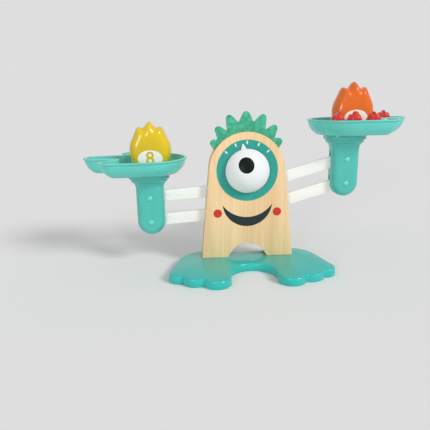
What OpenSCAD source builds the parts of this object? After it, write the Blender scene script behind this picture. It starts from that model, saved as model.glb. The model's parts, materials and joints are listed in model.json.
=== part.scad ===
// Balance scale toy: two beams of a parallelogram balance in a footed wooden body,
// with a tray on an upright post at each end and number pieces lying in the trays.
// Millimetres. +Z is up, +X is to the viewer's right, +Y is away from the viewer.
// The origin lies on the underside of the base, below the middle of the beams.
// The beams are drawn at rest: the left side is down on its stop.

/* [Base] */
// Length of the base from tip to tip
base_len = 192; // [180:1:220]
// Thickness of the base
base_h = 10; // [8:0.5:14]
// Reach of the toes in front of the beams
base_front = 86; // [80:1:100]
// Reach of the heels behind the beams
base_back = 18; // [16:0.5:24]
// Depth of base behind the beams at the middle of the back edge
base_mid_back = 8.5; // [6:0.5:12]
// Distance from the beams to the hollow between the feet
base_hollow = 36; // [30:1:44]
// Radius of the heel
heel_r = 39; // [36:1:46]
// Distance of the heel's centre from the middle
heel_x = 47; // [44:1:52]
// Radius of the inner toe
inner_toe_r = 16; // [13:0.5:18]
// Radius of the middle toe
middle_toe_r = 16; // [13:0.5:18]
// Radius of the outer toe
outer_toe_r = 12; // [10:0.5:15]
// Distance of the inner toe's centre from the middle
inner_toe_x = 42; // [38:1:46]
// How far the outer toe lies behind the inner one
outer_toe_back = 20; // [14:1:26]
// Radius of the rounded top edge of the base
base_round = 2; // [1:0.25:3]

/* [Body boards] */
// Width of the boards at the foot
board_w = 112; // [104:1:124]
// Height of the boards above the base
board_h = 152; // [140:1:170]
// Radius of the round head
head_r = 45; // [42:0.5:50]
// Thickness of each board
board_t = 7; // [5:0.5:10]
// Gap between the two boards
board_gap = 8; // [7:0.5:12]
// Width of the arch between the legs
arch_w = 48; // [40:1:54]
// Height of the arch
arch_h = 18; // [14:0.5:22]
// Height of the blocks between the legs
leg_block_h = 11; // [9:0.5:13]

/* [Crest] */
// Radius of the longest spike from the middle of the head
crest_r = 68.5; // [62:0.5:76]
// Thickness of the felt
crest_t = 3; // [2:0.25:4]
// Radius of the spike tips
spike_tip_r = 4.2; // [3:0.1:5]

/* [Beams] */
// Distance of the tray pins from the middle of the beam
pin_x = 119; // [110:1:130]
// How far the pins lie below the beam's pivot
pin_drop = 10; // [6:0.5:14]
// Distance between the upper and the lower beam
pin_gap = 29; // [27:0.5:34]
// Height of the beams
beam_h = 14; // [11:0.5:15]
// Thickness of the beams
beam_t = 4; // [3:0.25:5]
// Rise of the arms towards their ends
arm_angle = 6; // [3:0.5:8]
// Largest tilt to either side
tilt = 9.5; // [7:0.25:11]
// Distance of the knees of the beam from its middle
knee_x = 34; // [30:1:38]
// Radius of the hub of the beam
hub_r = 10; // [8.5:0.25:11]
// Radius of the two axles
axle_r = 3; // [2.5:0.25:4]
// Radius of the tray pins
pin_r = 2; // [1.5:0.25:2.75]

/* [Eye] */
// Radius of the eye dome
eye_r = 26; // [22:0.5:29]
// Height of the eye dome
eye_h = 17; // [13:0.5:22]
// Reach of the pointer from the middle of the eye
pointer_r = 32; // [30:0.5:36]

/* [Posts] */
// Width of a post
post_w = 33; // [30:0.5:38]
// Depth of a post
post_d = 24; // [21:0.5:28]
// Radius of the upright edges of a post
post_round = 8; // [6:0.5:10]
// Wall of the post shells
post_wall = 2.4; // [1.8:0.2:3]
// Height of the post above its upper pin
post_top = 29.5; // [27:0.5:36]
// Reach of the collar outside the post
collar_out = 7.5; // [6:0.5:9]
// Height of the collar
collar_h = 6; // [4:0.5:7]

/* [Trays] */
// Radius of the palm of a tray
palm_r = 44; // [40:0.5:50]
// Reach of the front finger from the post
front_finger = 52; // [46:1:56]
// Radius of the front fingertip
front_finger_r = 15; // [13:0.5:16]
// Reach of the rear finger from the post
rear_finger = 77; // [70:1:84]
// Radius of the rear fingertip
rear_finger_r = 15; // [13:0.5:16]
// Distance of the rear finger behind the post
rear_finger_y = 14; // [12:0.5:18]
// Reach of the thumb behind the post
thumb_reach = 64; // [60:0.5:68]
// Radius of the tip of the thumb
thumb_r = 13; // [11:0.5:14]
// Distance of the thumb beside the post
thumb_x = 23; // [20:0.5:26]
// Depth of a tray
tray_h = 17.5; // [14:0.5:22]
// How far the wall leans in between the rim and the floor
tray_lean = 10; // [8:0.5:14]
// Wall of a tray
tray_wall = 2.2; // [1.6:0.2:3]
// Width of the lip round the rim
lip_w = 1.6; // [1:0.2:2.5]

/* [Number pieces] */
// Width of a large number piece
large_w = 49; // [44:0.5:54]
// Height of a large number piece
large_h = 58; // [52:0.5:64]
// Depth of a large number piece
large_d = 26; // [22:0.5:28]
// Width of a small number piece
small_w = 18.5; // [16:0.5:20]
// Height of a small number piece
small_h = 24; // [20:0.5:28]
// Depth of a small number piece
small_d = 15; // [12:0.5:16]
// Radius of the ballast pocket in a large piece
ballast_r = 8; // [6:0.5:9]
// Length of the ballast in the eight
eight_ballast = 24; // [18:1:30]
// Length of the ballast in the three
three_ballast = 6; // [4:1:10]
// Depth of the ballast pocket
pocket_h = 38; // [34:1:42]

/* [Hidden] */
$fn = 96;

// Clearances: running fits, moving faces, and holes round screws
run_clear = 0.05;
face_clear = 0.3;
hole_clear = 0.25;
stop_clear = 0.3;
// Height of the ballast above the foot of its piece
slug_lift = 0.5;
// How far a cut runs past the face that it opens
over = 1;

// Screws of the body and of the posts
screw_r = 1.75;
screw_head_r = 3.5;
screw_head_h = 2.5;
screw_bite = 4.5;
base_screw_bite = 8;
base_screw_spread = 8;
post_screw_r = 1.25;
post_screw_head_r = 2.4;
post_screw_head_h = 1.8;
post_screw_bite = 5;

// Small parts of the body
peg_r = 4;
peg_seat = 3;
axle_seat = 5;
axle_end = 3;
cap_r = 7;
cap_h = 5;
cap_round = 2;
washer_r = 7.5;
leg_margin = 3;
leg_lean_share = 0.12;
spacer_margin = 2;
base_edge = 0.8;
toe_nook_r = 2.5;
pointer_t = 1.2;
pointer_half_w = 3.2;
pointer_tip_r = 1;
pointer_plate_r = 14;
eye_rim = 2;
eye_bore = 9;
pin_head_r = 3.6;
pin_head_h = 2;

// Small parts of the posts
boss_r = 5;
screw_boss_r = 3.6;
slot_clear = 0.6;
collar_step = 2.5;
collar_step_h = 2;
collar_fillet = 10;
spigot_len = 8;
spigot_clear = 0.1;

// Heights and places of the mechanism
face_y = board_gap / 2 + board_t;
head_z = base_h + board_h - head_r;
lower_z = head_z - pin_gap;
knee_z = -pin_drop - (pin_x - knee_x) * tan(arm_angle);
pin = [pin_x, -pin_drop];
knee = [knee_x, knee_z];

function lerp(a, b, s) = a + (b - a) * s;
function heading(v) = atan2(v.y, v.x);
function flip_x(p) = [-p.x, p.y];
function turn(p, a) = [p.x * cos(a) - p.y * sin(a), p.x * sin(a) + p.y * cos(a)];
function ccw_to(a, b) = b < a ? b + 360 : b;
function cw_to(a, b) = b > a ? b - 360 : b;
function arc(c, r, a, b, n, first = 0) =
    [for (i = [first:n]) c + r * [cos(lerp(a, b, i / n)), sin(lerp(a, b, i / n))]];
function mirrored(half) =
    concat(half, [for (i = [len(half) - 2:-1:1]) flip_x(half[i])]);
function at_height(points, z) = [for (p = points) [p.x, p.y, z]];

// Places of the pins at rest, as [x, z] from the upper pivot
right_pin = turn(pin, tilt);
left_pin = turn(flip_x(pin), tilt);

// Triangles from each edge of a closed ring to its hub, and one wherever the hub changes
function fan(ring, hubs) =
    let (n = len(hubs))
    concat(
        [for (i = [0:n - 1]) [ring[i], ring[i + 1], hubs[i]]],
        [for (i = [0:n - 1])
            let (before = hubs[(i + n - 1) % n])
            if (before != hubs[i]) [ring[i], hubs[i], before]]);

// Skin through rings that all have the same count of points, closed at both ends by fans;
// hub_of gives the number of the hub of each edge, where an end has more than one
module skin(rings, first_hubs, last_hubs, hub_of = []) {
    count = len(rings[0]);
    last = len(rings) - 1;
    first_hub = len(rings) * count;
    last_hub = first_hub + len(first_hubs);
    numbers = hub_of == [] ? [for (i = [1:count]) 0] : hub_of;
    polyhedron(
        points = concat([for (ring = rings) each ring], first_hubs, last_hubs),
        faces = concat(
            fan([for (i = [0:count]) i % count], [for (k = numbers) first_hub + k]),
            [for (k = [0:last - 1], i = [0:count - 1], half = [0, 1])
                let (a = k * count + i, b = k * count + (i + 1) % count)
                half == 0 ? [a, a + count, b + count] : [a, b + count, b]],
            fan([for (i = [count:-1:0]) last * count + i % count],
                [for (i = [count - 1:-1:0]) last_hub + numbers[i]])));
}

// Cylinder along +Y that starts at y
module rod(r, y, length) {
    translate([0, y, 0]) rotate([-90, 0, 0]) cylinder(r = r, h = length);
}

// Plate between two values of y, from an outline drawn in X and Z
module plate(y, t) {
    translate([0, y + t, 0]) rotate([90, 0, 0]) linear_extrude(t) children();
}

// Straight bar between two points of an outline
module bar(p, q, w) {
    translate(p) rotate(heading(q - p)) translate([0, -w / 2]) square([norm(q - p), w]);
}

// Base: arcs of the toes, the heel and the hollows, each moved inwards by the inset
inner_toe = [inner_toe_x, inner_toe_r - base_front];
outer_toe = [base_len / 2 - outer_toe_r, outer_toe_r - base_front + outer_toe_back];
middle_toe_share = 0.55;
middle_toe = lerp(inner_toe, outer_toe, middle_toe_share);
heel = [heel_x, base_back - heel_r];
hollow_rise = -base_hollow - inner_toe.y;
hollow_r = (inner_toe.x ^ 2 + hollow_rise ^ 2 - inner_toe_r ^ 2) / (2 * (hollow_rise + inner_toe_r));
hollow = [0, -base_hollow - hollow_r];
back_rise = base_mid_back - heel.y;
back_r = (heel.x ^ 2 + back_rise ^ 2 - heel_r ^ 2) / (2 * (heel_r - back_rise));
back = [0, base_mid_back + back_r];

function nook(c1, r1, c2, r2, f) =
    let (v = c2 - c1, d = norm(v), a = r1 + f, b = r2 + f,
        along = (d * d + a * a - b * b) / (2 * d))
    c1 + v / d * along + [v.y, -v.x] / d * sqrt(a * a - along * along);
inner_nook = nook(inner_toe, inner_toe_r, middle_toe, middle_toe_r, toe_nook_r);
outer_nook = nook(middle_toe, middle_toe_r, outer_toe, outer_toe_r, toe_nook_r);
side_normal = heading(heel - outer_toe) - acos((outer_toe_r - heel_r) / norm(heel - outer_toe));

function bulge(c, r, a, b, inset, n, first) = arc(c, r - inset, a, ccw_to(a, b), n, first);
function dip(c, r, a, b, inset, n, first) = arc(c, r + inset, a, cw_to(a, b), n, first);
function base_outline(inset) = mirrored(concat(
    dip(hollow, hollow_r, 90, heading(inner_toe - hollow), inset, 9, 0),
    bulge(inner_toe, inner_toe_r, heading(hollow - inner_toe), heading(inner_nook - inner_toe),
        inset, 9, 1),
    dip(inner_nook, toe_nook_r, heading(inner_toe - inner_nook), heading(middle_toe - inner_nook),
        inset, 3, 1),
    bulge(middle_toe, middle_toe_r, heading(inner_nook - middle_toe),
        heading(outer_nook - middle_toe), inset, 6, 1),
    dip(outer_nook, toe_nook_r, heading(middle_toe - outer_nook), heading(outer_toe - outer_nook),
        inset, 3, 1),
    bulge(outer_toe, outer_toe_r, heading(outer_nook - outer_toe), side_normal, inset, 8, 1),
    bulge(heel, heel_r, side_normal, heading(back - heel), inset, 12, 0),
    dip(back, back_r, heading(heel - back), -90, inset, 5, 1)));

module base_board() {
    steps = 3;
    count = len(base_outline(0));
    color([0.30, 0.74, 0.68]) difference() {
        skin(concat(
            [at_height(base_outline(base_edge), 0), at_height(base_outline(0), base_edge)],
            [for (i = [0:steps])
                let (a = 90 * i / steps)
                at_height(base_outline(base_round * (1 - cos(a))),
                    base_h - base_round * (1 - sin(a)))]),
            at_height([heel, flip_x(heel)], 0),
            at_height([heel, flip_x(heel)], base_h),
            [for (i = [1:count]) i <= count / 2 ? 0 : 1]);
        at_base_screws() {
            translate([0, 0, -over]) cylinder(r = screw_r + hole_clear, h = base_h + 2 * over);
            translate([0, 0, -over])
                cylinder(r = screw_head_r + hole_clear, h = screw_head_h + base_edge + over);
        }
    }
}

// Body boards: a tapered panel that runs into a round head, with an arch between the legs
arch_bend_x_share = 0.81;
arch_bend_z_share = 0.44;
module panel_outline() {
    corner = [board_w / 2, head_r - board_h];
    side = heading(corner) + acos(head_r / norm(corner));
    shoulder = head_r * [cos(side), sin(side)];
    bend = [arch_w / 2 * arch_bend_x_share, arch_h * arch_bend_z_share];
    arch_r = (bend.x ^ 2 + (arch_h - bend.y) ^ 2) / (2 * (arch_h - bend.y));
    translate([0, head_z]) difference() {
        union() {
            circle(r = head_r);
            polygon([flip_x(corner), corner, shoulder, flip_x(shoulder)]);
        }
        translate([0, head_r - board_h]) {
            intersection() {
                translate([0, arch_h - arch_r]) circle(r = arch_r);
                translate([-arch_w, bend.y]) square([2 * arch_w, arch_h]);
            }
            polygon([[-arch_w / 2, 0], [-arch_w / 2, -over], [arch_w / 2, -over],
                [arch_w / 2, 0], bend, flip_x(bend)]);
        }
    }
}

module front_panel() {
    color([0.90, 0.79, 0.60]) difference() {
        plate(-face_y, board_t) panel_outline();
        translate([0, 0, head_z]) rod(axle_r + run_clear, -face_y - over, board_t + 2 * over);
        translate([0, 0, lower_z]) rod(axle_r, -board_gap / 2 - axle_seat, axle_seat + over);
        at_pegs() rod(peg_r, -board_gap / 2 - peg_seat, peg_seat + over);
        at_panel_screws() rod(screw_r, -board_gap / 2 - screw_bite, screw_bite + over);
    }
}

module back_panel() {
    color([0.88, 0.76, 0.57]) difference() {
        plate(board_gap / 2, board_t) panel_outline();
        translate([0, 0, head_z])
            rod(axle_r + run_clear, board_gap / 2 - over, board_t + 2 * over);
        translate([0, 0, lower_z]) rod(axle_r, board_gap / 2 - over, board_t + 2 * over);
        at_pegs() rod(peg_r, board_gap / 2 - over, peg_seat + over);
        at_panel_screws() {
            rod(screw_r + hole_clear, board_gap / 2 - over, board_t + 2 * over);
            rod(screw_head_r + hole_clear, face_y - screw_head_h, screw_head_h + over);
        }
    }
}

// Screws through the back board: two in the head and one in each leg
head_screw_angle = 40;
crest_in_share = 0.667;
crest_in_r = head_r * crest_in_share;
head_screw_r = (crest_in_r + head_r - spacer_margin) / 2;
leg_mid_x = (arch_w + board_w) / 4;
leg_screw_rise_share = 0.62;
module at_panel_screws() {
    for (s = [-1, 1]) {
        translate([s * head_screw_r * sin(head_screw_angle), 0,
            head_z + head_screw_r * cos(head_screw_angle)]) children();
        translate([s * leg_mid_x, 0, base_h + leg_block_h * leg_screw_rise_share]) children();
    }
}

module panel_screws() {
    shank = board_t + board_gap + screw_bite - screw_head_h;
    color([0.75, 0.75, 0.76]) at_panel_screws() union() {
        rod(screw_head_r, face_y - screw_head_h, screw_head_h);
        rod(screw_r, face_y - screw_head_h - shank, shank);
    }
}

// Screws through the base: two in each leg block
module at_base_screws() {
    for (s = [-1, 1], k = [-1, 1])
        translate([s * leg_mid_x + k * base_screw_spread, 0, 0]) children();
}

module base_screws() {
    color([0.75, 0.75, 0.76]) at_base_screws() union() {
        translate([0, 0, base_edge]) cylinder(r = screw_head_r, h = screw_head_h);
        translate([0, 0, base_edge + screw_head_h])
            cylinder(r = screw_r, h = base_h + base_screw_bite - base_edge - screw_head_h);
    }
}

// Block between the boards of one leg, on the side given by s
module leg_block(s) {
    lean = leg_block_h * leg_lean_share;
    inner = arch_w / 2 + leg_margin;
    outer = board_w / 2 - leg_margin;
    color([0.86, 0.73, 0.53]) difference() {
        plate(-board_gap / 2, board_gap) translate([0, base_h])
            polygon([[s * inner, 0], [s * outer, 0], [s * (outer - lean), leg_block_h],
                [s * inner, leg_block_h]]);
        at_panel_screws()
            rod(screw_r + hole_clear, -board_gap / 2 - over, board_gap + 2 * over);
        at_base_screws() translate([0, 0, base_h - over])
            cylinder(r = screw_r, h = base_screw_bite + over);
    }
}
module left_leg_block() { leg_block(-1); }
module right_leg_block() { leg_block(1); }

// Sector of a ring in the head, from one angle left of the top to the same angle right of it
spacer_angle = 62;
module head_sector(r_in, r_out) {
    translate([0, head_z]) difference() {
        circle(r = r_out);
        circle(r = r_in);
        for (s = [-1, 1]) rotate(-s * spacer_angle)
            translate([s < 0 ? -2 * r_out : 0, -2 * r_out]) square([2 * r_out, 4 * r_out]);
    }
}

module head_spacer() {
    color([0.86, 0.73, 0.53]) difference() {
        plate(crest_t - board_gap / 2, board_gap - crest_t)
            head_sector(crest_in_r, head_r - spacer_margin);
        at_panel_screws() rod(screw_r + hole_clear, -board_gap / 2, board_gap + over);
    }
}

// Felt crest: rounded spikes that fan out behind the front board
spike_angles = [-50, -34.5, -18, 0, 18, 34.5, 50];
spike_shares = [0.80, 0.91, 0.99, 1, 0.99, 0.91, 0.80];
valley_angles = [-60, -42.5, -26, -9, 9, 26, 42.5, 60];
valley_shares = [0.62, 0.73, 0.755, 0.82, 0.82, 0.755, 0.73, 0.62];
tip_spread = 68;
function from_top(r, a) = r * [sin(a), cos(a)];
module crest() {
    tips = [for (i = [0:len(spike_angles) - 1])
        each concat(
            [from_top(crest_r * valley_shares[i], valley_angles[i])],
            arc(from_top(crest_r * spike_shares[i] - spike_tip_r, spike_angles[i]), spike_tip_r,
                90 - spike_angles[i] + tip_spread, 90 - spike_angles[i] - tip_spread, 4))];
    last = len(valley_angles) - 1;
    color([0.28, 0.66, 0.53]) difference() {
        plate(-board_gap / 2, crest_t) translate([0, head_z]) difference() {
            polygon(concat(tips, [from_top(crest_r * valley_shares[last], valley_angles[last]),
                [0, 0], from_top(crest_r * valley_shares[0], valley_angles[0])]));
            circle(r = crest_in_r);
        }
        at_panel_screws() rod(screw_r + hole_clear, -board_gap, board_gap);
    }
}

// Stop pegs: the lower beam comes down on them at its largest tilt
peg_reach_share = 0.1;
peg_drop = beam_h / 2 + peg_r + stop_clear;
peg_place = turn(lerp(flip_x(knee), flip_x(pin), peg_reach_share)
    + peg_drop * turn([0, -1], -arm_angle), tilt);
module at_pegs() {
    for (s = [-1, 1]) translate([-s * peg_place.x, 0, lower_z + peg_place.y]) children();
}

module stop_pegs() {
    color([0.85, 0.72, 0.52]) at_pegs()
        rod(peg_r, -board_gap / 2 - peg_seat, board_gap + 2 * peg_seat);
}

// Axles, their caps on the back and the washers beside the hubs
module axle_cap() {
    rotate([-90, 0, 0]) difference() {
        rotate_extrude() union() {
            square([cap_r - cap_round, cap_h]);
            square([cap_r, cap_h - cap_round]);
            translate([cap_r - cap_round, cap_h - cap_round]) circle(r = cap_round);
        }
        translate([0, 0, -over]) cylinder(r = axle_r, h = axle_end - face_clear + over);
    }
}

module lower_axle() {
    color([0.72, 0.72, 0.74]) translate([0, 0, lower_z])
        rod(axle_r, -board_gap / 2 - axle_seat, axle_seat + board_gap + board_t + axle_end);
}

module lower_axle_cap() {
    color([0.93, 0.93, 0.92]) translate([0, face_y + face_clear, lower_z]) axle_cap();
}

module upper_axle() {
    front = face_y + face_clear + pointer_t + eye_bore;
    color([0.72, 0.72, 0.74]) translate([0, 0, head_z])
        rod(axle_r, -front, front + face_y + axle_end);
}

module upper_axle_cap() {
    color([0.93, 0.93, 0.92]) translate([0, face_y + face_clear, head_z]) axle_cap();
}

module axle_washers() {
    t = (board_gap - beam_t) / 2 - run_clear;
    color([0.94, 0.94, 0.93]) for (z = [lower_z, head_z], y = [-board_gap / 2, board_gap / 2 - t])
        translate([0, 0, z]) difference() {
            rod(washer_r, y, t);
            rod(axle_r + run_clear, y - over, t + 2 * over);
        }
}

// Beam: arms that rise to the pins, and a raised hub above the knees
module beam(hole_r) {
    rotate([0, -tilt, 0]) difference() {
        plate(-beam_t / 2, beam_t) union() {
            circle(r = hub_r);
            for (s = [-1, 1]) {
                bar([0, 0], [s * knee.x, knee.y], beam_h);
                bar([s * knee.x, knee.y], [s * pin.x, pin.y], beam_h);
                translate([s * knee.x, knee.y]) circle(d = beam_h);
                translate([s * pin.x, pin.y]) circle(d = beam_h);
            }
        }
        rod(hole_r, -beam_t, 2 * beam_t);
        for (s = [-1, 1]) translate([s * pin.x, 0, pin.y])
            rod(pin_r + run_clear, -beam_t, 2 * beam_t);
    }
}

module upper_beam() {
    color([0.95, 0.95, 0.94]) translate([0, 0, head_z]) beam(axle_r);
}

module lower_beam() {
    color([0.95, 0.95, 0.94]) translate([0, 0, lower_z]) beam(axle_r + run_clear);
}

// Eye: a dome on the front end of the upper axle, with a pointer behind its rim
eye_back = face_y + face_clear + pointer_t;
module eye_dome() {
    ball_r = (eye_r ^ 2 + (eye_h - eye_rim) ^ 2) / (2 * (eye_h - eye_rim));
    color([0.95, 0.95, 0.95]) translate([0, -eye_back, head_z]) rotate([90, 0, 0]) difference() {
        union() {
            cylinder(r = eye_r, h = eye_rim);
            intersection() {
                translate([0, 0, eye_h - ball_r]) sphere(r = ball_r);
                translate([0, 0, eye_rim]) cylinder(r = eye_r + over, h = eye_h);
            }
        }
        translate([0, 0, -over]) cylinder(r = axle_r, h = eye_bore + over);
    }
}

module eye_pointer() {
    color([0.95, 0.95, 0.95]) translate([0, 0, head_z]) rotate([0, -tilt, 0]) difference() {
        plate(-eye_back, pointer_t) union() {
            circle(r = pointer_plate_r);
            polygon([[-pointer_half_w, 0], [pointer_half_w, 0], [pointer_half_w, eye_r],
                [pointer_tip_r, pointer_r - pointer_tip_r],
                [-pointer_tip_r, pointer_r - pointer_tip_r], [-pointer_half_w, eye_r]]);
            translate([0, pointer_r - pointer_tip_r]) circle(r = pointer_tip_r);
        }
        rod(axle_r, -eye_back - over, pointer_t + 2 * over);
    }
}

// Posts: drawn for the left side, from the upper pin, with the body towards +X
corner = [post_w / 2 - post_round, post_d / 2 - post_round];
inner_w = post_w - 2 * post_wall;
inner_d = post_d - 2 * post_wall;
slot_y = beam_t / 2 + face_clear;
swing_up = max(tilt - arm_angle, 0);
swing_down = tilt + arm_angle;
slot_up = post_w / 2 * tan(swing_up) + beam_h / 2 / cos(swing_up) + slot_clear;
slot_down = post_w / 2 * tan(swing_down) + beam_h / 2 / cos(swing_down) + slot_clear;
post_screw_z = [-pin_gap / 2, post_top - spigot_len - screw_boss_r - 2 * post_wall];

module rounded(w, d, r) {
    square([w - 2 * r, d], center = true);
    square([w, d - 2 * r], center = true);
    for (sx = [-1, 1], sy = [-1, 1]) translate([sx * (w / 2 - r), sy * (d / 2 - r)]) circle(r = r);
}

// Upright column with a half-round foot about the lower pin
module column(w, d, r, top) {
    translate([0, 0, -pin_gap]) {
        linear_extrude(pin_gap + top) rounded(w, d, r);
        rotate([-90, 0, 0]) rotate_extrude(angle = 180) intersection() {
            rounded(w, d, r);
            translate([0, -d]) square([w, 2 * d]);
        }
    }
}

// Profile of the collar from the centre of a rounded edge outwards
module collar_profile() {
    step_r = post_round + collar_out - collar_step;
    step_z = post_top - collar_h - collar_step_h;
    fillet = min(collar_fillet, step_z);
    translate([0, post_top - collar_h]) square([post_round + collar_out, collar_h]);
    translate([0, step_z]) square([step_r, collar_step_h]);
    difference() {
        translate([0, step_z - fillet]) square([step_r, fillet]);
        translate([post_round + fillet, step_z - fillet]) circle(r = fillet);
    }
}

module collar() {
    for (q = [[1, 1, 0], [-1, 1, 90], [-1, -1, 180], [1, -1, 270]])
        translate([q[0] * corner.x, q[1] * corner.y, 0]) rotate(q[2])
            rotate_extrude(angle = 90) collar_profile();
    for (s = [-1, 1]) {
        translate([-corner.x, s * corner.y, 0]) rotate([90, 0, 90])
            linear_extrude(2 * corner.x) scale([s, 1]) collar_profile();
        translate([s * corner.x, corner.y, 0]) rotate([90, 0, 0])
            linear_extrude(2 * corner.y) scale([s, 1]) collar_profile();
    }
}

// One shell of a post: s is -1 for the front half and 1 for the back half
module post_half(s) {
    difference() {
        intersection() {
            union() {
                difference() {
                    union() {
                        column(post_w, post_d, post_round, post_top);
                        collar();
                    }
                    column(inner_w, inner_d, post_round - post_wall, post_top + over);
                }
                for (z = [0, -pin_gap]) translate([0, 0, z])
                    rod(boss_r, s < 0 ? post_wall / 2 - post_d / 2 : slot_y,
                        post_d / 2 - post_wall / 2 - slot_y);
                for (z = post_screw_z) translate([0, 0, z])
                    rod(screw_boss_r, s < 0 ? post_wall / 2 - post_d / 2 : 0,
                        post_d / 2 - post_wall / 2);
            }
            translate([-post_w, s < 0 ? -post_d : 0, -2 * pin_gap])
                cube([2 * post_w, post_d, 2 * pin_gap + 2 * post_top]);
        }
        for (z = [0, -pin_gap]) {
            translate([0, 0, z]) rod(pin_r, -post_d, 2 * post_d);
            translate([0, -slot_y, z - slot_down])
                cube([post_w, 2 * slot_y, slot_down + slot_up]);
        }
        for (z = post_screw_z) translate([0, 0, z]) {
            if (s < 0) rod(post_screw_r, -post_screw_bite, post_screw_bite + over);
            else {
                rod(post_screw_r + hole_clear, -over, post_d);
                rod(post_screw_head_r + hole_clear, post_d / 2 - post_wall, post_d);
            }
        }
    }
}

// Rivet with a domed head at both ends
module post_pins() {
    head_ball_r = (pin_head_r ^ 2 + pin_head_h ^ 2) / (2 * pin_head_h);
    for (z = [0, -pin_gap]) translate([0, 0, z]) rotate([90, 0, 0]) union() {
        cylinder(r = pin_r, h = post_d, center = true);
        for (s = [0, 1]) mirror([0, 0, s]) intersection() {
            translate([0, 0, post_d / 2 + pin_head_h - head_ball_r]) sphere(r = head_ball_r);
            translate([0, 0, post_d / 2]) cylinder(r = pin_head_r + over, h = pin_head_h + over);
        }
    }
}

module post_screws() {
    shank = post_d / 2 - post_wall + post_screw_bite;
    for (z = post_screw_z) translate([0, 0, z]) union() {
        rod(post_screw_r, -post_screw_bite, shank);
        rod(post_screw_head_r, post_d / 2 - post_wall, post_screw_head_h);
    }
}

// Tray: a palm over the post, two fingers towards -X and a thumb behind it;
// lean is 0 at the rim and 1 at the floor
finger_floor_share = 0.62;
finger_gap_share = 0.52;
crook_r = 10;
web_least_r = 6;
web_share = 0.62;
lean_power = 2.4;
floor_t = tray_wall;
function palm_at(lean) = palm_r - tray_lean * lean;
function tip_at(r, lean) = r * lerp(1, finger_floor_share, lean);
function front_at(lean) =
    [front_finger - tray_lean * lean, palm_at(lean)] - tip_at(front_finger_r, lean) * [1, 1];
function rear_at(lean) =
    [rear_finger - tray_lean * lean - tip_at(rear_finger_r, lean), -rear_finger_y];
function thumb_at(lean) = [thumb_x, tip_at(thumb_r, lean) + tray_lean * lean - thumb_reach];

// Circle of radius f that touches the circle c, r on its +X side and has its middle at y
function beside(c, r, y, f) = [c.x + sqrt((r + f) ^ 2 - (c.y - y) ^ 2), y];
function gap_r_at(lean) =
    finger_gap_share * (front_at(lean).y - rear_at(lean).y
        - tip_at(front_finger_r, lean) - tip_at(rear_finger_r, lean));
function gap_at(lean) =
    let (r = gap_r_at(lean))
    beside(front_at(lean), tip_at(front_finger_r, lean),
        rear_at(lean).y + tip_at(rear_finger_r, lean) + r, r);
function web_r_at(lean) =
    max(web_least_r, web_share * (rear_at(lean).y - tip_at(rear_finger_r, lean)
        - thumb_at(lean).y - tip_at(thumb_r, lean)));

// Arcs round the rear finger, the gap, the front finger, the palm, the crook, the thumb and the web
gap_cuts = [0.35, 0.74];
crook_cut = 0.5;
web_cut = 0.4;
function tray_arcs(lean, inset) =
    let (palm = palm_at(lean),
        front = front_at(lean),
        rear = rear_at(lean),
        thumb = thumb_at(lean),
        front_r = tip_at(front_finger_r, lean),
        rear_r = tip_at(rear_finger_r, lean),
        tip_r = tip_at(thumb_r, lean),
        gap = gap_at(lean),
        gap_r = gap_r_at(lean),
        crook = nook([0, 0], palm, thumb, tip_r, crook_r),
        web_r = web_r_at(lean),
        web = beside(thumb, tip_r, rear.y - rear_r - web_r, web_r),
        gap_end = cw_to(-90, heading(front - gap)),
        gap_mid = [for (s = gap_cuts) lerp(-90, gap_end, s)],
        crook_start = heading(-crook),
        crook_end = cw_to(crook_start, heading(thumb - crook)),
        crook_mid = lerp(crook_start, crook_end, crook_cut),
        web_start = heading(thumb - web),
        web_end = cw_to(web_start, 90),
        web_mid = lerp(web_start, web_end, web_cut))
    [bulge(rear, rear_r, -90, 90, inset, 12, 0),
        dip(gap, gap_r, -90, gap_mid[0], inset, 3, 0),
        dip(gap, gap_r, gap_mid[0], gap_mid[1], inset, 4, 1),
        dip(gap, gap_r, gap_mid[1], gap_end, inset, 3, 1),
        bulge(front, front_r, heading(gap - front), 90, inset, 9, 1),
        bulge([0, 0], palm, 90, heading(crook), inset, 20, 0),
        dip(crook, crook_r, crook_start, crook_mid, inset, 3, 1),
        dip(crook, crook_r, crook_mid, crook_end, inset, 3, 1),
        bulge(thumb, tip_r, heading(crook - thumb), heading(web - thumb), inset, 14, 1),
        dip(web, web_r, web_start, web_mid, inset, 3, 1),
        dip(web, web_r, web_mid, web_end, inset, 4, 1)];
function tray_outline(lean, inset) = [for (part = tray_arcs(lean, inset), p = part) -p];

// Hubs of the floor: the palm, the rear finger, the front finger and the thumb, and each arc's hub
arc_hubs = [1, 1, 0, 2, 2, 0, 0, 3, 3, 3, 0];
tray_hubs = [[0, 0], -[gap_at(1).x, rear_at(1).y], -front_at(1), -thumb_at(1)];
tray_hub_of = [for (k = [0:len(arc_hubs) - 1], p = tray_arcs(1, 0)[k]) arc_hubs[k]];

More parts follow.
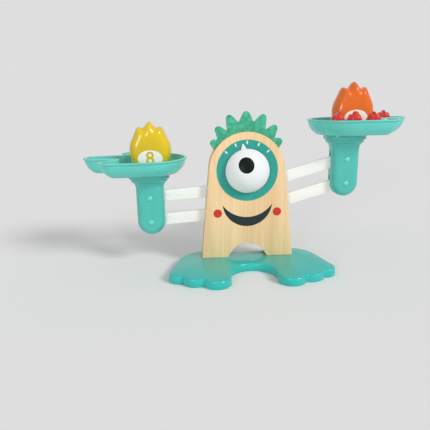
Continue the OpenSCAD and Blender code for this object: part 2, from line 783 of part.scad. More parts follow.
function tray_ring(t, inset, low) =
    at_height(tray_outline((1 - t) ^ lean_power, inset), lerp(low, tray_h, t));
wall_shares = [0, 0.05, 0.13, 0.27, 0.48, 0.75];
module tray() {
    last = len(wall_shares) - 1;
    union() {
        skin(concat(
            [for (t = wall_shares) tray_ring(t, 0, 0)],
            [at_height(tray_outline(0, 0), tray_h - lip_w),
                at_height(tray_outline(0, -lip_w), tray_h - lip_w),
                at_height(tray_outline(0, -lip_w), tray_h),
                at_height(tray_outline(0, tray_wall), tray_h)],
            [for (i = [last:-1:0]) tray_ring(wall_shares[i], tray_wall, floor_t)]),
            at_height(tray_hubs, 0),
            at_height(tray_hubs, floor_t),
            tray_hub_of);
        translate([0, 0, -spigot_len]) difference() {
            linear_extrude(spigot_len + floor_t / 2)
                rounded(inner_w - 2 * spigot_clear, inner_d - 2 * spigot_clear,
                    post_round - post_wall - spigot_clear);
            translate([0, 0, -over]) linear_extrude(spigot_len + over)
                rounded(inner_w - 2 * tray_wall, inner_d - 2 * tray_wall,
                    post_round - post_wall - tray_wall);
        }
    }
}

module at_left_post() {
    translate([left_pin.x, 0, head_z + left_pin.y]) children();
}
module at_right_post() {
    translate([right_pin.x, 0, head_z + right_pin.y]) mirror([1, 0, 0]) children();
}
post_colour = [0.35, 0.74, 0.69];
tray_colour = [0.40, 0.76, 0.72];
steel = [0.75, 0.75, 0.76];
module left_post_front() { color(post_colour) at_left_post() post_half(-1); }
module left_post_back() { color(post_colour) at_left_post() post_half(1); }
module left_post_pins() { color(post_colour) at_left_post() post_pins(); }
module left_post_screws() { color(steel) at_left_post() post_screws(); }
module left_tray() { color(tray_colour) at_left_post() translate([0, 0, post_top]) tray(); }
module right_post_front() { color(post_colour) at_right_post() post_half(-1); }
module right_post_back() { color(post_colour) at_right_post() post_half(1); }
module right_post_pins() { color(post_colour) at_right_post() post_pins(); }
module right_post_screws() { color(steel) at_right_post() post_screws(); }
module right_tray() { color(tray_colour) at_right_post() translate([0, 0, post_top]) tray(); }

// Number pieces: egg-shaped pebbles with a crown of three peaks, flat underneath
crown_angles = [-35, 0, 35];
crown_shares = [0.092, 0.12, 0.092];
crown_width = 11;
egg_top_share = 0.47;
egg_foot_share = 0.43;
egg_mid_share = 0.40;
side_turns = [-66, -48, -25, 0, 25, 48, 66];
pillow_power = 0.42;
function peak(a, i) = crown_shares[i] * exp(-((a - crown_angles[i]) / crown_width) ^ 2);
function crown(a) = peak(a, 0) + peak(a, 1) + peak(a, 2);
function pebble_point(w, h, a, f) =
    let (up = cos(a) > 0 ? egg_top_share : egg_foot_share,
        z = h * (egg_mid_share + f * (up * cos(a) + crown(a))))
    [f * w / 2 * sin(a), max(z, 0)];
module pebble(w, h, d, n) {
    edge = side_turns[len(side_turns) - 1];
    skin([for (u = side_turns)
        let (f = cos(u) ^ pillow_power)
        [for (i = [0:n - 1])
            let (p = pebble_point(w, h, lerp(-180, 180, i / n), f))
            [p.x, d / 2 * sin(u) / sin(edge), p.y]]],
        [[0, -d / 2, h * egg_mid_share]],
        [[0, d / 2, h * egg_mid_share]]);
}

module large_piece() {
    difference() {
        pebble(large_w, large_h, large_d, 48);
        translate([0, 0, -over]) cylinder(r = ballast_r, h = pocket_h + over);
    }
}
module slug(length) {
    translate([0, 0, slug_lift]) cylinder(r = ballast_r, h = length);
}

// Places of the pieces on the tray floors, as [x, y] from each post
eight_share = [0.07, 0];
three_share = [0.27, 0.26];
one_shares = [[-0.345, -0.37], [0.09, -0.409], [0.57, -0.5], [1.173, 0.318]];
floor_z = post_top + floor_t;
module on_left_tray(share) {
    translate([left_pin.x, 0, head_z + left_pin.y + floor_z])
        translate([palm_r * share.x, palm_r * share.y, 0]) children();
}
module on_right_tray(share) {
    translate([right_pin.x, 0, head_z + right_pin.y + floor_z])
        translate([palm_r * share.x, palm_r * share.y, 0]) children();
}
module one(i) {
    color([0.86, 0.18, 0.15]) on_right_tray(one_shares[i]) pebble(small_w, small_h, small_d, 36);
}
module eight() { color([0.88, 0.74, 0.16]) on_left_tray(eight_share) large_piece(); }
module eight_ballast_slug() { color(steel) on_left_tray(eight_share) slug(eight_ballast); }
module three() { color([0.83, 0.39, 0.20]) on_right_tray(three_share) large_piece(); }
module three_ballast_slug() { color(steel) on_right_tray(three_share) slug(three_ballast); }
module one_a() { one(0); }
module one_b() { one(1); }
module one_c() { one(2); }
module one_d() { one(3); }

base_board();
front_panel();
back_panel();
head_spacer();
left_leg_block();
right_leg_block();
stop_pegs();
crest();
base_screws();
panel_screws();
lower_axle();
lower_axle_cap();
axle_washers();
upper_beam();
upper_axle();
upper_axle_cap();
eye_dome();
eye_pointer();
lower_beam();
left_post_front();
left_post_back();
left_post_pins();
left_post_screws();
left_tray();
right_post_front();
right_post_back();
right_post_pins();
right_post_screws();
right_tray();
eight();
eight_ballast_slug();
three();
three_ballast_slug();
one_a();
one_b();
one_c();
one_d();
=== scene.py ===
# %% [markdown]
# # A balance scale toy, dressed in Blender
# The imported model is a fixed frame: every part already has its size and its place, in metres.
# This lesson keeps those places, rounds the edges that a maker would round, and gives each
# surface the finish that it has on the toy: pale wood, paint, felt, and moulded plastic.

# %% Load the frame
import json
from math import atan2, copysign, cos, degrees, exp, hypot, pi, radians, sin, sqrt

import bmesh
import bpy
from mathutils import Matrix, Vector, noise
from mathutils.bvhtree import BVHTree


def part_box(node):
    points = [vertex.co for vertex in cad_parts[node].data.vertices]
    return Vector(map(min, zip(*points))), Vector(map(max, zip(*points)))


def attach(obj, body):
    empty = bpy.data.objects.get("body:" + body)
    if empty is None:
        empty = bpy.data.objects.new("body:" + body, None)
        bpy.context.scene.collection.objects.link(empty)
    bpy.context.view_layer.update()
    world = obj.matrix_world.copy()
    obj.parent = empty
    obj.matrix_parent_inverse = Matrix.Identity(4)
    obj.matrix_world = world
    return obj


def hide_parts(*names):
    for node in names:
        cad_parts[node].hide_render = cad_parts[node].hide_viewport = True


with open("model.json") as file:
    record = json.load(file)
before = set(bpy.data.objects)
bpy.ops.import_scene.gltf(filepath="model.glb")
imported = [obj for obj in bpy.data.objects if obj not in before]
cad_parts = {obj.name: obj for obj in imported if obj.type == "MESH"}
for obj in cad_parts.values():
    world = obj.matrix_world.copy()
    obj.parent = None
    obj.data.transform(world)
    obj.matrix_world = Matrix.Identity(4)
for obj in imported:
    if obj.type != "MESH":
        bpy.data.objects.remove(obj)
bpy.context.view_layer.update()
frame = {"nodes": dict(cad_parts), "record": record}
scene = bpy.context.scene
scene.view_settings.view_transform = "Standard"
MM = 0.001
print("nodes:", len(frame["nodes"]))

# %% [markdown]
# ## Camera
# The camera stands a little to the left of the toy and looks down on it. Its place and turns were
# fitted to corners that can be read off the photograph, so nothing has to be nudged afterwards.
# A camera's own axes are right, up and backwards, and they fill the columns of its matrix.

# %% Camera
camera_place = Vector((-0.0727, -0.5332, 0.2039))
camera_yaw, camera_pitch, camera_roll = radians(3.66), radians(14.92), radians(-1.25)
sensor_mm, focal_pixels, frame_pixels = 36, 450, 430

data = bpy.data.cameras.new("camera")
data.sensor_width = sensor_mm
data.lens = sensor_mm * focal_pixels / frame_pixels
camera = bpy.data.objects.new("camera", data)
scene.collection.objects.link(camera)
forward = Vector((sin(camera_yaw) * cos(camera_pitch), cos(camera_yaw) * cos(camera_pitch),
                  -sin(camera_pitch)))
right = Vector((cos(camera_yaw), -sin(camera_yaw), 0))
right.rotate(Matrix.Rotation(-camera_roll, 3, forward))
up = right.cross(forward)
turned = Matrix((right, up, -forward)).transposed().to_4x4()
camera.matrix_world = Matrix.Translation(camera_place) @ turned
scene.camera = camera
print("lens:", round(data.lens, 1), "mm")

# %% [markdown]
# ## Shader maths as Python
# A material is a graph of nodes. Wiring each Math node by hand hides the idea, so one small class
# wraps an output and overloads the operators: `1 - mask` then adds the node by itself. A second
# class holds a graph and makes any node from its type, its settings and its inputs. A finish is a
# graph that belongs to a material, with the object's own coordinates at hand.

# %% Values and finishes
class Value:
    """One output of a shader node. An expression on values adds Math nodes."""

    def __init__(self, graph, socket):
        self.graph, self.socket = graph, socket

    def __add__(self, other):
        return self.graph.math("ADD", self, other)

    def __sub__(self, other):
        return self.graph.math("SUBTRACT", self, other)

    def __rsub__(self, other):
        return self.graph.math("SUBTRACT", other, self)

    def __mul__(self, other):
        return self.graph.math("MULTIPLY", self, other)

    def __abs__(self):
        return self.graph.math("ABSOLUTE", self)

    __radd__, __rmul__ = __add__, __mul__


class Graph:
    """A tree of shader nodes, and the calls that add to it."""

    def __init__(self, tree):
        self.tree = tree

    def node(self, kind, settings=None, inputs=None):
        made = self.tree.nodes.new("ShaderNode" + kind)
        for name, value in (settings or {}).items():
            setattr(made, name, value)
        for key, value in (inputs or {}).items():
            self.feed(made.inputs[key], value)
        return [Value(self, socket) for socket in made.outputs]

    def math(self, operation, *operands):
        return self.node("Math", {"operation": operation}, dict(enumerate(operands)))[0]

    def feed(self, socket, value):
        if isinstance(value, Value):
            self.tree.links.new(value.socket, socket)
        else:
            socket.default_value = value


class Finish(Graph):
    """A material, and the nodes that make it."""

    def __init__(self, name, **sockets):
        self.material = bpy.data.materials.new(name)
        self.material.use_nodes = True
        super().__init__(self.material.node_tree)
        self.shader = self.tree.nodes["Principled BSDF"]
        places = {place.socket.name: place for place in self.node("TexCoord")}
        self.place = places["Object"]
        self.x, self.y, self.z = self.node("SeparateXYZ", None, {"Vector": self.place})
        self.set(**sockets)

    def set(self, **sockets):
        for name, value in sockets.items():
            title = name.replace("_", " ").title().replace("Ior", "IOR")
            self.feed(self.shader.inputs[title], value)

    def noise(self, scale, stretch=(1, 1, 1), detail=2, rough=0.5):
        place = self.node("Mapping", None, {"Vector": self.place, "Scale": stretch})[0]
        return self.node("TexNoise", None, {"Vector": place, "Scale": scale, "Detail": detail,
                                            "Roughness": rough})[0]

    def step(self, value, low, high):
        return self.node("MapRange", {"interpolation_type": "SMOOTHSTEP"},
                         {"Value": value, "From Min": low, "From Max": high})[0]

    def blend(self, factor, first, second):
        return self.node("Mix", {"data_type": "RGBA"}, {0: factor, 6: first, 7: second})[2]

    def bump(self, height, strength, distance):
        normal = self.node("Bump", None, {"Height": height, "Strength": strength,
                                          "Distance": distance})[0]
        self.set(normal=normal)


def tint(red, green, blue):
    """A colour as read off a screen, from 0 to 255, as the linear value that a shader takes."""
    linear = [c / 12.92 if c <= 0.04045 else ((c + 0.055) / 1.055) ** 2.4
              for c in (red / 255, green / 255, blue / 255)]
    return (*linear, 1)


print("shader helpers ready")

# %% [markdown]
# ## Pale wood
# The boards are a light, close-grained wood under a thin clear coat. Grain runs up the boards, so
# one noise is squeezed along Z into long soft bands and a finer one into fibres. A sine adds a
# line every 7 mm, which the bands sway. All of them move the colour only a little: strong contrast
# would make the small toy look like a large plank.

# %% Pale wood
WOOD_LIGHT, WOOD_DARK = tint(241, 209, 163), tint(224, 187, 138)
BAND_SCALE, BAND_STRETCH = 46, (1, 0.6, 0.07)
FIBRE_SCALE, FIBRE_STRETCH = 900, (1, 1, 0.03)
LINE_RADIANS_PER_METRE, LINE_SWAY = 900, 34
BAND_SHARE, LINE_SHARE, FIBRE_SHARE = 0.55, 0.045, 0.42
GRAIN_LOW, GRAIN_HIGH = 0.3, 0.72
WOOD_SMOOTHEST, WOOD_ROUGHER = 0.42, 0.16
FIBRE_STRENGTH, FIBRE_HEIGHT = 0.12, 0.2 * MM
CLEAR_COAT = {"coat_weight": 0.05, "coat_roughness": 0.35, "specular_ior_level": 0.3}


def wood_colour(finish):
    band = finish.noise(BAND_SCALE, BAND_STRETCH)
    line = finish.math("SINE", finish.x * LINE_RADIANS_PER_METRE + band * LINE_SWAY)
    fibre = finish.noise(FIBRE_SCALE, FIBRE_STRETCH)
    mixed = band * BAND_SHARE + line * LINE_SHARE + fibre * FIBRE_SHARE
    finish.set(roughness=fibre * WOOD_ROUGHER + WOOD_SMOOTHEST)
    finish.bump(fibre, FIBRE_STRENGTH, FIBRE_HEIGHT)
    return finish.blend(finish.step(mixed, GRAIN_LOW, GRAIN_HIGH), WOOD_LIGHT, WOOD_DARK)


pale_wood = Finish("pale_wood", **CLEAR_COAT)
pale_wood.set(base_color=wood_colour(pale_wood))
print("finish:", pale_wood.material.name)

# %% [markdown]
# ## Masks for prints
# A flat print could be a thin piece of its own, but paint has no thickness that shows. Each print
# is a mask in the material below it instead, built from distances, so its edge is crisp at any
# size. A disc is all that lies near a point, and a stripe is all that lies near a line.

# %% Masks
EDGE = 0.12 * MM


def disc_mask(finish, x, z, radius):
    across, along = finish.x - x, finish.z - z
    distance = finish.math("SQRT", across * across + along * along)
    return 1 - finish.step(distance, radius - EDGE, radius + EDGE)


def stripe_mask(finish, distance, half_width):
    return 1 - finish.step(abs(distance), half_width - EDGE, half_width + EDGE)


print("masks fade over", round(2 * EDGE / MM, 2), "mm")

# %% [markdown]
# ## Prints on the front board
# The front board carries a disc behind the eye, with pale tick marks for the pointer, a plain
# smile and two dots. The masks are held to the front face, or they would run through the board.

# %% Printed board
head = Vector((0, 0, (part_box("upper_axle")[0][2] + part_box("upper_axle")[1][2]) / 2))
board_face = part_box("front_panel")[0][1]
PRINT_DEPTH, PRINT_END = 0.2 * MM, 0.4 * MM
DISC_RADIUS, DISC_DRIFT = 36.5 * MM, 30
DISC_DARK, DISC_LIGHT = tint(28, 144, 130), tint(50, 162, 150)
TICK_ANGLES, TICK_PAINT = (-48, -24, 0, 24, 48), tint(226, 236, 214)
TICK_MID, TICK_HALF_LENGTH, TICK_HALF_WIDTH = 33.2 * MM, 1.9 * MM, 0.8 * MM
SMILE_LOW, SMILE_LOW_RADIUS = -38 * MM, 30 * MM
SMILE_TOP, SMILE_TOP_RADIUS = -20 * MM, 36.5 * MM
SMILE_PAINT = tint(28, 44, 46)
CHEEK_X, CHEEK_Z, CHEEK_RADIUS = 36 * MM, -51 * MM, 5.2 * MM
CHEEK_PAINT = tint(205, 48, 40)

printed_wood = Finish("printed_wood", **CLEAR_COAT)
colour = wood_colour(printed_wood)
front = 1 - printed_wood.step(printed_wood.y, board_face + PRINT_DEPTH, board_face + PRINT_END)
disc_colour = printed_wood.blend(printed_wood.noise(DISC_DRIFT), DISC_DARK, DISC_LIGHT)
disc = disc_mask(printed_wood, 0, head.z, DISC_RADIUS)
colour = printed_wood.blend(disc * front, colour, disc_colour)
rise = printed_wood.z - head.z
for angle in TICK_ANGLES:
    turn = radians(angle)
    beside = printed_wood.x * cos(turn) - rise * sin(turn)
    beyond = printed_wood.x * sin(turn) + rise * cos(turn) - TICK_MID
    tick = (stripe_mask(printed_wood, beside, TICK_HALF_WIDTH)
            * stripe_mask(printed_wood, beyond, TICK_HALF_LENGTH))
    colour = printed_wood.blend(tick * front, colour, TICK_PAINT)
smile = (disc_mask(printed_wood, 0, head.z + SMILE_LOW, SMILE_LOW_RADIUS)
         * (1 - disc_mask(printed_wood, 0, head.z + SMILE_TOP, SMILE_TOP_RADIUS)))
colour = printed_wood.blend(smile * front, colour, SMILE_PAINT)
for side in (-1, 1):
    cheek = disc_mask(printed_wood, side * CHEEK_X, head.z + CHEEK_Z, CHEEK_RADIUS)
    colour = printed_wood.blend(cheek * front, colour, CHEEK_PAINT)
printed_wood.set(base_color=colour)
print("prints:", len(TICK_ANGLES), "ticks round the disc")

# %% [markdown]
# ## Colour and skin
# A plain colour still drifts a little across a real surface, so each finish mixes two near tones
# with a slow noise. A fine noise gives the skin: a change of roughness and a shallow bump.

# %% Colour and skin
DRIFT_SCALE = 22
SKIN_GRAIN, SKIN_HEIGHT, SKIN_STRENGTH = 1400, 0.04 * MM, 0.25
ROUGHNESS_CHANGE = 0.1
COAT_ROUGHNESS = 0.08


def drifting(finish, dark, light):
    return finish.blend(finish.noise(DRIFT_SCALE), dark, light)


def add_skin(finish, roughness, grain=SKIN_GRAIN, height=SKIN_HEIGHT):
    skin = finish.noise(grain)
    finish.set(roughness=skin * ROUGHNESS_CHANGE + (roughness - ROUGHNESS_CHANGE / 2))
    finish.bump(skin, SKIN_STRENGTH, height)


def moulded(name, dark, light, roughness=0.3, coat=0.0, specular=0.5, **skin):
    finish = Finish(name, coat_weight=coat, coat_roughness=COAT_ROUGHNESS,
                    specular_ior_level=specular)
    finish.set(base_color=drifting(finish, dark, light))
    add_skin(finish, roughness, **skin)
    return finish


print("skin bump:", SKIN_HEIGHT / MM, "mm")

# %% [markdown]
# ## Paint and plastic
# The base is wood under thick glossy paint, which levels into a faint orange peel, so its skin is
# coarser. Posts and trays are moulded in one plastic with a silkier skin, but the trays' colour is
# painted lighter, as painted light on walls that face down and away from the suns. The heads of the
# pins shine a little more, and their colour is painted paler as well, as a painted highlight. White
# parts are satin, and the number pieces are bright and glossy.

# %% Paint and plastic
base_lacquer = moulded("base_lacquer", tint(30, 177, 167), tint(52, 191, 184), coat=0.4,
                       specular=0.35, grain=160, height=0.05 * MM)
teal_plastic = moulded("teal_plastic", tint(62, 177, 164), tint(80, 189, 178), 0.26, coat=0.3)
# The pins' colour is painted paler than the posts' plastic: a painted highlight on their domed
# heads, on top of a glossier coat.
pin_plastic_painted_highlight = moulded("pin_plastic_painted_highlight", tint(84, 200, 186), tint(102, 210, 198), 0.24, coat=0.8)
# The trays' colour is painted lighter than the posts' plastic: painted light on walls that face
# down, away from the suns.
tray_plastic_painted_light = moulded("tray_plastic_painted_light", tint(82, 196, 183), tint(102, 208, 198), 0.26, coat=0.3)
beam_white = moulded("beam_white", tint(235, 234, 230), tint(241, 240, 236), 0.34)
eye_white = moulded("eye_white", tint(226, 228, 229), tint(233, 234, 235), 0.36, coat=0.1)
nylon = moulded("nylon", tint(228, 228, 224), tint(238, 238, 234), 0.5)
white_print = moulded("white_print", tint(242, 241, 234), tint(248, 247, 242), 0.35)
steel = moulded("steel", tint(172, 174, 178), tint(190, 191, 194), 0.32)
steel.set(metallic=1.0)
PEBBLE_GLOSS = {"roughness": 0.2, "coat": 0.3, "specular": 0.3}
yellow_plastic = moulded("yellow_plastic", tint(216, 172, 16), tint(227, 207, 32), **PEBBLE_GLOSS)
orange_plastic = moulded("orange_plastic", tint(220, 84, 16), tint(237, 124, 26), **PEBBLE_GLOSS)
red_plastic = moulded("red_plastic", tint(206, 36, 30), tint(222, 54, 42), **PEBBLE_GLOSS)
print("finishes:", len(bpy.data.materials))

# %% [markdown]
# ## Felt
# Felt is pressed from loose fibres, so it is matt, a little clumpy, and pale where fibres stand up
# and catch the light from the side. Two noises make clumps and hairs, for colour and bump alike,
# and the shader's sheen gives the pale bloom.

# %% Felt
FELT_DARK, FELT_LIGHT = tint(38, 142, 109), tint(86, 198, 161)
CLUMP_SCALE, HAIR_SCALE, HAIR_STRETCH = 160, 1500, (1, 1, 0.6)
CLUMP_SHARE, HAIR_SHARE = 0.6, 0.5
NAP_LOW, NAP_HIGH = 0.35, 0.75
NAP_STRENGTH, NAP_HEIGHT, CLUMP_HEIGHT_SHARE = 0.7, 0.5 * MM, 0.5

felt = Finish("felt", roughness=0.95, sheen_weight=0.35, sheen_roughness=0.5)
clump = felt.noise(CLUMP_SCALE, detail=3, rough=0.6)
hair = felt.noise(HAIR_SCALE, HAIR_STRETCH, detail=4, rough=0.7)
nap = felt.step(clump * CLUMP_SHARE + hair * HAIR_SHARE, NAP_LOW, NAP_HIGH)
felt.set(base_color=felt.blend(nap, FELT_DARK, FELT_LIGHT))
felt.bump(clump * CLUMP_HEIGHT_SHARE + hair, NAP_STRENGTH, NAP_HEIGHT)
print("finish:", felt.material.name)

# %% [markdown]
# ## The eye
# The eye is a satin white dome with a round pupil painted a little above its middle. The pupil is
# a mask by distance from a point on the dome's axis, as the prints are.

# %% Painted eye
PUPIL_X, PUPIL_Z, PUPIL_RADIUS = -3 * MM, 8.6 * MM, 9 * MM
PUPIL_PAINT = tint(8, 22, 18)
EYE_ROUGHNESS = 0.41

painted_eye = Finish("painted_eye", coat_weight=0.03, coat_roughness=0.3, specular_ior_level=0.12)
white = drifting(painted_eye, tint(228, 230, 231), tint(234, 235, 236))
pupil = disc_mask(painted_eye, PUPIL_X, head.z + PUPIL_Z, PUPIL_RADIUS)
painted_eye.set(base_color=painted_eye.blend(pupil, white, PUPIL_PAINT))
add_skin(painted_eye, EYE_ROUGHNESS)
print("pupil:", round(2 * PUPIL_RADIUS / MM, 1), "mm across")

# %% [markdown]
# ## Pieces that stand for nodes
# A piece that replaces a CAD node keeps the node's place and takes its body from the packed record,
# so that it moves as the node does. Every new piece is published in one way: its mesh is shaded
# smooth, with a crease wherever faces meet at more than a given angle.

# %% Publish a piece
CREASE = 40


def publish(name, shape, finish, body, slot, crease=CREASE):
    mesh = bpy.data.meshes.new(name)
    shape.to_mesh(mesh)
    shape.free()
    mesh.shade_smooth()
    mesh.set_sharp_from_angle(angle=radians(crease))
    mesh.materials.append(finish.material)
    piece = bpy.data.objects.new(name, mesh)
    scene.collection.objects.link(piece)
    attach(piece, body)
    return piece


def slot_of(node):
    return next(row["material_slot"] for row in frame["record"]["subparts"] if row["node"] == node)


def body_of(node):
    bodies = frame["record"]["behaviour"]["bodies"]
    return next(body for body, members in bodies.items() if node in members)


def stand_for(node, ending, shape, finish, crease=CREASE):
    piece = publish(node + ending, shape, finish, body_of(node), slot_of(node), crease)
    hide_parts(node)
    return piece


# %% [markdown]
# ## Rounded copies
# A CAD solid has perfect corners, and nothing real does. A copy of the node is merged, its flat
# triangles are dissolved into whole faces, and its sharp edges are bevelled, so light catches on
# them. The copy stands for the node.

# %% Copies and rounds
WELD, FLAT_ANGLE = 0.001 * MM, 0.4


def merged_copy(node):
    shape = bmesh.new()
    shape.from_mesh(frame["nodes"][node].data)
    bmesh.ops.remove_doubles(shape, verts=shape.verts, dist=WELD)
    return shape


def whole_faced_copy(node):
    shape = merged_copy(node)
    bmesh.ops.dissolve_limit(shape, angle_limit=radians(FLAT_ANGLE), verts=shape.verts,
                             edges=shape.edges)
    return shape


def sharp_edges(shape, angle):
    return [edge for edge in shape.edges
            if len(edge.link_faces) == 2 and edge.calc_face_angle() > radians(angle)]


def round_off(shape, edges, radius, segments):
    bmesh.ops.bevel(shape, geom=edges, offset=radius, offset_type="OFFSET", segments=segments,
                    profile=0.5, affect="EDGES", clamp_overlap=True, material=-1)


def rounded(node, finish, radius, segments=3, sharp=38):
    shape = whole_faced_copy(node)
    round_off(shape, sharp_edges(shape, sharp), radius, segments)
    return stand_for(node, "_rounded", shape, finish)


print("helpers ready")

# %% [markdown]
# ## Boards, base and beams
# Boards and beams are sawn and sanded, so a round of about a millimetre runs along every edge.
# The painted base already has its round in the model, and only its small edges are eased.

# %% Body pieces
rounded("front_panel", printed_wood, 1.2 * MM, segments=4)
rounded("back_panel", pale_wood, 1.0 * MM, segments=4)
rounded("base_board", base_lacquer, 0.4 * MM, segments=2, sharp=60)
for node in ("upper_beam", "lower_beam"):
    rounded(node, beam_white, 0.7 * MM)
rounded("eye_dome", painted_eye, 0.8 * MM)
rounded("eye_pointer", eye_white, 0.3 * MM, segments=2)
for node in ("upper_axle_cap", "lower_axle_cap"):
    rounded(node, nylon, 0.3 * MM, segments=2)
print("body pieces rounded")

# %% [markdown]
# ## Posts
# Each post is moulded in two shells, and screws close them round the pins that carry the beams. A
# mould gives tighter edges than sandpaper does, so the round is less than half a millimetre.

# %% Posts and pins
for side in ("left", "right"):
    for half in ("front", "back"):
        rounded(f"{side}_post_{half}", teal_plastic, 0.45 * MM)
    rounded(f"{side}_post_pins", pin_plastic_painted_highlight, 0.15 * MM, segments=2)
print("posts rounded")

# %% [markdown]
# ## Felt crest
# Felt is cut from a sheet with a knife, so its outline is clean but its surface is not: fibres lie
# every way and the cut edge is a little fuzzy. The copy of the node gets rounded edges, small faces
# and a softer outline. Then each point moves a fraction of a millimetre along its normal, by a
# smooth noise.

# %% Felt crest
FELT_ROUND, FELT_SHARP = 0.5 * MM, 60
FELT_FACE, FELT_CUTS = 1.6 * MM, 5
FELT_LIFT, FELT_SCALE, FELT_SOFTENINGS = 0.22 * MM, 420, 2


def cut_fine(shape, longest, rounds):
    bmesh.ops.triangulate(shape, faces=shape.faces)
    for _ in range(rounds):
        long = [edge for edge in shape.edges if edge.calc_length() > longest]
        bmesh.ops.subdivide_edges(shape, edges=long, cuts=1)
        bmesh.ops.triangulate(shape, faces=shape.faces)


def felted(node):
    shape = whole_faced_copy(node)
    round_off(shape, sharp_edges(shape, FELT_SHARP), FELT_ROUND, segments=2)
    cut_fine(shape, FELT_FACE, FELT_CUTS)
    for _ in range(FELT_SOFTENINGS):
        bmesh.ops.smooth_vert(shape, verts=shape.verts, factor=0.5, use_axis_x=True,
                              use_axis_z=True)
    shape.normal_update()
    for vert in shape.verts:
        vert.co += vert.normal * FELT_LIFT * noise.noise(vert.co * FELT_SCALE)
    return stand_for(node, "_felt", shape, felt, crease=60)


crest = felted("crest")
print("crest points:", len(crest.data.vertices))

# %% [markdown]
# ## Trays
# The trays are thin moulded bowls in the shape of a hand. The model's facets follow rings, so the
# pairs of triangles are joined back into quads, and the shading runs smoothly across them except
# where the lip turns. The lip gets a small round, on which light draws the pale line of the rim. A
# subdivision surface would pull the thin rim in, so none is used.

# %% Trays
JOIN_FACE_ANGLE, JOIN_SHAPE_ANGLE = 40, 50
LIP_ROUND, LIP_DEPTH, LIP_SHARP = 0.45 * MM, 4 * MM, 50


def smoothed_tray(node):
    shape = merged_copy(node)
    bmesh.ops.join_triangles(shape, faces=shape.faces,
                             angle_face_threshold=radians(JOIN_FACE_ANGLE),
                             angle_shape_threshold=radians(JOIN_SHAPE_ANGLE))
    lip_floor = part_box(node)[1][2] - LIP_DEPTH
    lip = [edge for edge in sharp_edges(shape, LIP_SHARP)
           if min(vert.co.z for vert in edge.verts) > lip_floor]
    round_off(shape, lip, LIP_ROUND, segments=3)
    print(node, "lip edges:", len(lip))
    return stand_for(node, "_smooth", shape, tray_plastic_painted_light, crease=50)


for node in ("left_tray", "right_tray"):
    smoothed_tray(node)

# %% [markdown]
# ## Pebbles
# Each number piece is a plump pebble with a crown of three peaks and a flat foot. A UV sphere has
# the right flow of faces: its poles become the front and the back, and every ring is pulled out to
# the outline. The finished pebble also gives a search tree, on which the prints are laid later.

# %% Pebbles
CROWN = ((-35, 0.092), (0, 0.12), (35, 0.092))
CROWN_WIDTH = 11
MIDDLE, TOP, FOOT = 0.40, 0.47, 0.43
PILLOW = 6


def pebble(node, finish, segments):
    low, high = (Vector(corner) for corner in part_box(node))
    width, depth, height = high - low
    middle = (low + high) / 2
    tall = height / (MIDDLE + TOP + CROWN[1][1])
    shape = bmesh.new()
    bmesh.ops.create_uvsphere(shape, u_segments=segments, v_segments=segments // 2, radius=1)
    for vert in shape.verts:
        share = min(hypot(vert.co.x, vert.co.y), 1)
        angle = atan2(vert.co.x, vert.co.y)
        crown = sum(rise * exp(-((degrees(angle) - at) / CROWN_WIDTH) ** 2) for at, rise in CROWN)
        reach = (TOP if cos(angle) > 0 else FOOT) * cos(angle) + crown
        vert.co = Vector((
            middle.x + share * width / 2 * sin(angle),
            middle.y - copysign(depth / 2 * sqrt(1 - share ** PILLOW), vert.co.z),
            low.z + max(tall * (MIDDLE + share * reach), 0)))
    bmesh.ops.recalc_face_normals(shape, faces=shape.faces)
    surface = BVHTree.FromBMesh(shape)
    stand_for(node, "_pebble", shape, finish, crease=60)
    return surface, middle, height, low


print("peaks on a pebble:", len(CROWN))

# %% [markdown]
# ## Prints on the pebbles
# A white oval and a plain numeral are printed on the front of each piece. Both start as flat
# shapes that are cut fine enough to bend. Each point is then cast straight back onto the pebble,
# so the print follows the curve, a hair in front of it.

# %% Prints on the pebbles
OVAL_LIFT, NUMERAL_LIFT = 0.12 * MM, 0.24 * MM
OVAL_SEGMENTS, OVAL_CUTS = 40, 3
BOLD_SHARE = 0.012
NUMERAL_FACE_SHARE, NUMERAL_CUTS = 1 / 12, 3
CAST_FROM, BACKWARDS = 1, Vector((0, 1, 0))


def lay_on(shape, surface, place, lift):
    for vert in shape.verts:
        vert.co = Vector((place.x + vert.co.x, place.y, place.z + vert.co.y))
        hit = surface.ray_cast(vert.co - CAST_FROM * BACKWARDS, BACKWARDS)[0]
        vert.co.y = hit.y - lift
    shape.normal_update()
    turned = [face for face in shape.faces if face.normal.y > 0]
    bmesh.ops.reverse_faces(shape, faces=turned)


def oval(name, body, slot, surface, place, half_width, half_height):
    shape = bmesh.new()
    bmesh.ops.create_circle(shape, cap_ends=True, cap_tris=True, segments=OVAL_SEGMENTS, radius=1)
    for _ in range(OVAL_CUTS):
        bmesh.ops.subdivide_edges(shape, edges=shape.edges, cuts=1, use_grid_fill=True)
    bmesh.ops.scale(shape, vec=(half_width, half_height, 1), verts=shape.verts)
    lay_on(shape, surface, place, OVAL_LIFT)
    publish(name, shape, white_print, body, slot)


def numeral(name, text, body, slot, finish, surface, place, height):
    curve = bpy.data.curves.new(name, "FONT")
    curve.body, curve.align_x, curve.align_y = text, "CENTER", "CENTER"
    curve.size, curve.offset = height, BOLD_SHARE * height
    stand = bpy.data.objects.new(name, curve)
    flat = bpy.data.meshes.new_from_object(stand)
    bpy.data.objects.remove(stand)
    shape = bmesh.new()
    shape.from_mesh(flat)
    bpy.data.meshes.remove(flat)
    bmesh.ops.remove_doubles(shape, verts=shape.verts, dist=WELD)
    cut_fine(shape, NUMERAL_FACE_SHARE * height, NUMERAL_CUTS)
    lay_on(shape, surface, place, NUMERAL_LIFT)
    publish(name, shape, finish, body, slot)


print("prints lie", OVAL_LIFT / MM, "and", NUMERAL_LIFT / MM, "mm in front")

# %% [markdown]
# ## Number pieces
# The left tray holds an eight, and the right one a three and four ones. The sizes of the prints
# are shares of each piece's height, so large and small pieces look alike.

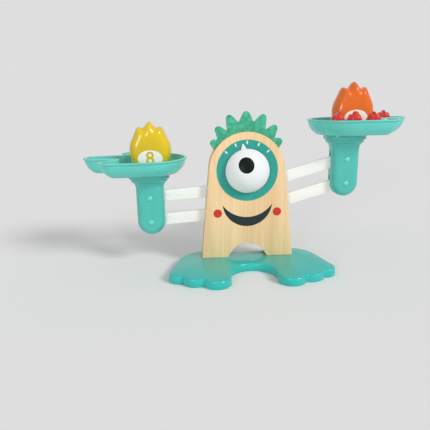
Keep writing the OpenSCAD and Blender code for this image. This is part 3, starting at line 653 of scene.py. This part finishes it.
# %% Number pieces
LARGE_SEGMENTS, SMALL_SEGMENTS = 72, 48
NUMBERS = (("eight", "8", yellow_plastic, LARGE_SEGMENTS),
           ("three", "3", orange_plastic, LARGE_SEGMENTS),
           *((f"one_{letter}", "1", red_plastic, SMALL_SEGMENTS) for letter in "abcd"))
OVAL_HEIGHT_SHARE, OVAL_WIDE_SHARE, OVAL_TALL_SHARE, NUMERAL_SHARE = 0.27, 0.25, 0.17, 0.36
for node, text, finish, segments in NUMBERS:
    body, slot = body_of(node), slot_of(node)
    surface, middle, height, low = pebble(node, finish, segments)
    place = Vector((middle.x, middle.y, low.z + OVAL_HEIGHT_SHARE * height))
    oval(node + "_disc", body, slot, surface, place, OVAL_WIDE_SHARE * height,
         OVAL_TALL_SHARE * height)
    numeral(node + "_numeral", text, body, slot, finish, surface, place, NUMERAL_SHARE * height)
print("number pieces:", len(NUMBERS))

# %% [markdown]
# ## Nodes that keep their shape
# Pegs, blocks, screws, axles and washers are seen only through gaps, and their solids are right as
# they are. They only need their finish.

# %% Finishes of the kept nodes
KEPT = {"head_spacer": pale_wood, "left_leg_block": pale_wood, "right_leg_block": pale_wood,
        "stop_pegs": pale_wood, "base_screws": steel, "panel_screws": steel, "lower_axle": steel,
        "upper_axle": steel, "axle_washers": nylon, "left_post_screws": steel,
        "right_post_screws": steel, "eight_ballast_slug": steel, "three_ballast_slug": steel}
for node, finish in KEPT.items():
    for holder in frame["nodes"][node].material_slots:
        holder.material = finish.material
print("kept nodes:", len(KEPT))

# %% [markdown]
# ## Suns and floor
# An even sky, one broad sun from the upper right and a weak one from the left make a plain product
# picture on a pale floor. Suns light the whole floor alike, so its brightness can be worked out:
# each adds its strength times the Z of its direction, divided by pi, as for any matt surface.

# %% Suns and floor
SKY_LEVEL = 0.56
SUN_SPREAD = radians(17)
SUNS = {"key": (Vector((0.72, -0.64, 0.62)).normalized(), 1.58),
        "fill": (Vector((-0.45, -0.85, 0.16)).normalized(), 0.72)}
FLOOR_HALF, FLOOR_GREY = 40, 0.84

floor_light = SKY_LEVEL
for name, (source, strength) in SUNS.items():
    lamp = bpy.data.lights.new(name, "SUN")
    lamp.angle, lamp.energy = SUN_SPREAD, strength
    sun = bpy.data.objects.new(name, lamp)
    sun.rotation_euler = source.to_track_quat("Z", "Y").to_euler()
    scene.collection.objects.link(sun)
    floor_light += strength * source.z / pi
floor_level = FLOOR_GREY * floor_light

shape = bmesh.new()
bmesh.ops.create_grid(shape, x_segments=1, y_segments=1, size=FLOOR_HALF)
mesh = bpy.data.meshes.new("floor")
shape.to_mesh(mesh)
shape.free()
floor_finish = Finish("floor", base_color=(FLOOR_GREY, FLOOR_GREY, FLOOR_GREY, 1), roughness=0.9,
                      specular_ior_level=0.0)
mesh.materials.append(floor_finish.material)
floor = bpy.data.objects.new("floor", mesh)
scene.collection.objects.link(floor)
print("floor level:", round(floor_level, 2))

# %% [markdown]
# ## Sky
# The sky lights the toy at its own level. The camera and reflections see it at the brightness of
# the floor instead, as rays through clear pieces would, and so the horizon disappears.

# %% Sky
world = bpy.data.worlds.new("studio")
world.use_nodes = True
scene.world = world
sky = Graph(world.node_tree)
background = world.node_tree.nodes["Background"]
rays = {ray.socket.name: ray for ray in sky.node("LightPath")}
seen = rays["Is Camera Ray"] + rays["Is Glossy Ray"] + rays["Is Transmission Ray"]
seen = sky.math("MINIMUM", seen, 1)
sky.feed(background.inputs["Color"], (1, 1, 1, 1))
sky.feed(background.inputs["Strength"], seen * (floor_level - SKY_LEVEL) + SKY_LEVEL)
print("sky level:", SKY_LEVEL)

# %% Update the scene
bpy.context.view_layer.update()
